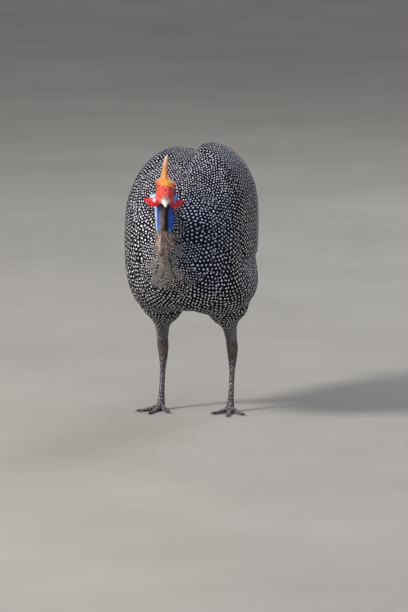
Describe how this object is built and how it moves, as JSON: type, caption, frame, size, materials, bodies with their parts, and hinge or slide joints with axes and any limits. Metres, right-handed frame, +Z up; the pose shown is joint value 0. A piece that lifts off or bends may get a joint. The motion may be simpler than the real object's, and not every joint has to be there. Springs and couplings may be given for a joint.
{
  "type": "guinea fowl model",
  "caption": "Life-size still model of a helmeted guinea fowl, standing hunched with folded wings and its head held low and turned a little to its left.",
  "frame": {"origin": "on the floor, under the middle of the bird's outline seen from above", "axes": "the bird faces -Y, its left side is +X, and +Z is up"},
  "size_m": [0.1728, 0.4638, 0.3721],
  "materials": {
    "plumage": "soft feather surface, near black slate with small white spots in life",
    "collar_down": "fine grey-brown down, matt",
    "flight_feather": "smooth feather vanes, near black, slight sheen",
    "blue_skin": "bare wrinkled skin, bright blue, satin",
    "red_skin": "bare wrinkled skin, bright red, satin",
    "casque": "horn over bone, orange brown, dull",
    "bill": "horn, pale pinkish grey, satin",
    "eye": "wet, very dark brown",
    "leg": "scaled skin, dark purplish grey, dull",
    "claw": "horn, dark grey, satin"
  },
  "bodies": {
    "root": {"torso": "plumage", "thigh_L": "plumage", "thigh_R": "plumage", "neck_feathered": "collar_down", "wing_L": "flight_feather", "wing_R": "flight_feather", "tail": "flight_feather", "neck_bare": "blue_skin", "head": "red_skin", "wattle_L": "red_skin", "wattle_R": "red_skin", "casque": "casque", "bill_upper": "bill", "bill_lower": "bill", "eye_L": "eye", "eye_R": "eye", "shank_L": "leg", "shank_R": "leg", "foot_L": "leg", "foot_R": "leg", "claw_inner_L": "claw", "claw_middle_L": "claw", "claw_outer_L": "claw", "claw_hind_L": "claw", "claw_inner_R": "claw", "claw_middle_R": "claw", "claw_outer_R": "claw", "claw_hind_R": "claw"}
  },
  "joints": []
}
